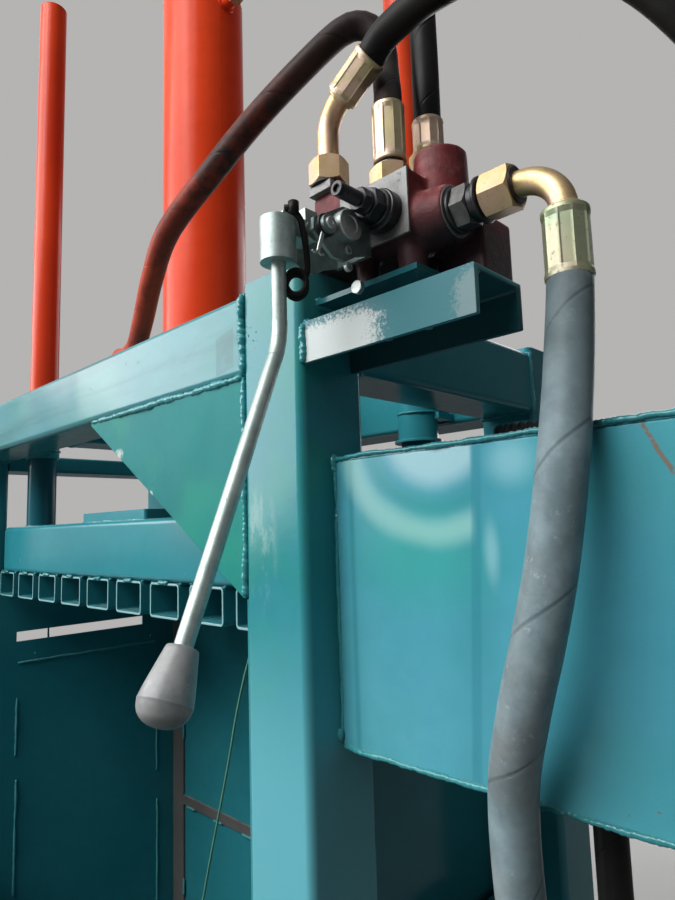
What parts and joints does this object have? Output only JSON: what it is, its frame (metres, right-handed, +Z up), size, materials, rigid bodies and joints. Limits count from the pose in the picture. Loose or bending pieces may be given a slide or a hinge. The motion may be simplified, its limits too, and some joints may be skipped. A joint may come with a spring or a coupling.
{
  "type": "recycling baler",
  "caption": "Upright recycling baler: welded tube frame, down-stroke cylinder with guide tubes, open-tube platen, hand valve, side oil tank.",
  "frame": {"origin": "on the floor, at the centre of the four floor bolt holes, midway between the posts", "axes": "+X to the right along the front, +Y to the back, +Z up"},
  "size_m": [1.771, 0.8647, 2.9],
  "materials": {
    "teal_paint": "glossy teal enamel over welded mild steel, with a fine orange peel",
    "orange_paint": "glossy orange-red enamel",
    "cast_red_paint": "dusty dark red paint on rough grey iron castings, machined faces left bare",
    "zinc_steel": "bright zinc plating",
    "yellow_zinc": "yellow chromated zinc on fittings",
    "bare_steel": "oiled bare steel",
    "rod_chrome": "hard chromed rod",
    "black_oxide": "black oxide steel",
    "knob_plastic": "worn black plastic, greyed",
    "hose_rubber": "dusty black hose cover",
    "dusty_paint": "paint under brown dust",
    "motor_paint": "dark grey enamel",
    "baling_twine": "green polypropylene twine"
  },
  "bodies": {
    "frame": {"post_front_right": "teal_paint", "post_front_left": "teal_paint", "post_rear_right": "teal_paint", "post_rear_left": "teal_paint", "foot_plates": "teal_paint", "beam_top_front": "teal_paint", "beam_top_rear": "teal_paint", "beam_top_right": "teal_paint", "tie_top_left": "teal_paint", "corner_gusset": "teal_paint", "crosshead_beams": "teal_paint", "crosshead_plate": "teal_paint", "guide_bushes": "teal_paint", "base_rails": "teal_paint", "floor_joists": "teal_paint", "chamber_floor": "teal_paint", "wall_left": "teal_paint", "wall_right": "teal_paint", "wall_back": "teal_paint", "wall_spacers": "teal_paint", "back_rail": "dusty_paint", "chamber_rails": "teal_paint", "hinge_lugs": "teal_paint", "door_pins": "zinc_steel", "cylinder_barrel": "orange_paint", "cylinder_cap": "orange_paint", "cylinder_gland": "bare_steel", "flange_bolts": "zinc_steel", "valve_channel": "teal_paint", "valve_plate": "teal_paint", "valve_body": "cast_red_paint", "relief_valve": "black_oxide", "lever_bracket": "zinc_steel", "pipe_fittings": "yellow_zinc", "hose_ferrules": "yellow_zinc", "hose_a": "hose_rubber", "hose_b": "hose_rubber", "hose_c": "hose_rubber", "hose_d": "hose_rubber", "hose_e": "hose_rubber", "oil_tank": "teal_paint", "tank_lid": "teal_paint", "pack_shelf": "teal_paint", "pump_motor": "motor_paint", "oil_pump": "bare_steel", "twine": "baling_twine"},
    "platen": {"piston": "bare_steel", "piston_rod": "rod_chrome", "platen_front_beam": "teal_paint", "platen_frame": "teal_paint", "platen_tubes": "teal_paint", "platen_plate": "teal_paint", "guide_tubes": "teal_paint"},
    "door": {"bale_door": "teal_paint", "door_ribs": "teal_paint", "door_hinge_straps": "teal_paint"},
    "latch": {"latch_bar": "orange_paint"},
    "lever": {"lever_hub": "zinc_steel", "lever_knob": "knob_plastic"},
    "spool": {"valve_spool": "bare_steel"}
  },
  "joints": [
    {"name": "platen_slide", "type": "slide", "parent": "frame", "child": "platen", "axis": [0, 0, -1], "range_m": [0, 0.85]},
    {"name": "door_hinge", "type": "hinge", "parent": "frame", "child": "door", "pos_m": [-0.59, -0.335, 0.6], "axis": [0, 0, -1], "range_deg": [0, 110]},
    {"name": "latch_turn", "type": "hinge", "parent": "frame", "child": "latch", "pos_m": [0.59, -0.325, 0.67], "axis": [0, -1, 0], "range_deg": [0, 90]},
    {"name": "lever_swing", "type": "hinge", "parent": "frame", "child": "lever", "pos_m": [0.686, -0.354, 1.843], "axis": [1, 0, 0], "range_deg": [-12, 12]},
    {"name": "spool_slide", "type": "slide", "parent": "frame", "child": "spool", "axis": [0, 1, 0], "range_m": [-0.005, 0.005]}
  ],
  "couplings": [
    {"joint": "spool_slide", "follows": "lever_swing", "m_per_rad": -0.02}
  ]
}
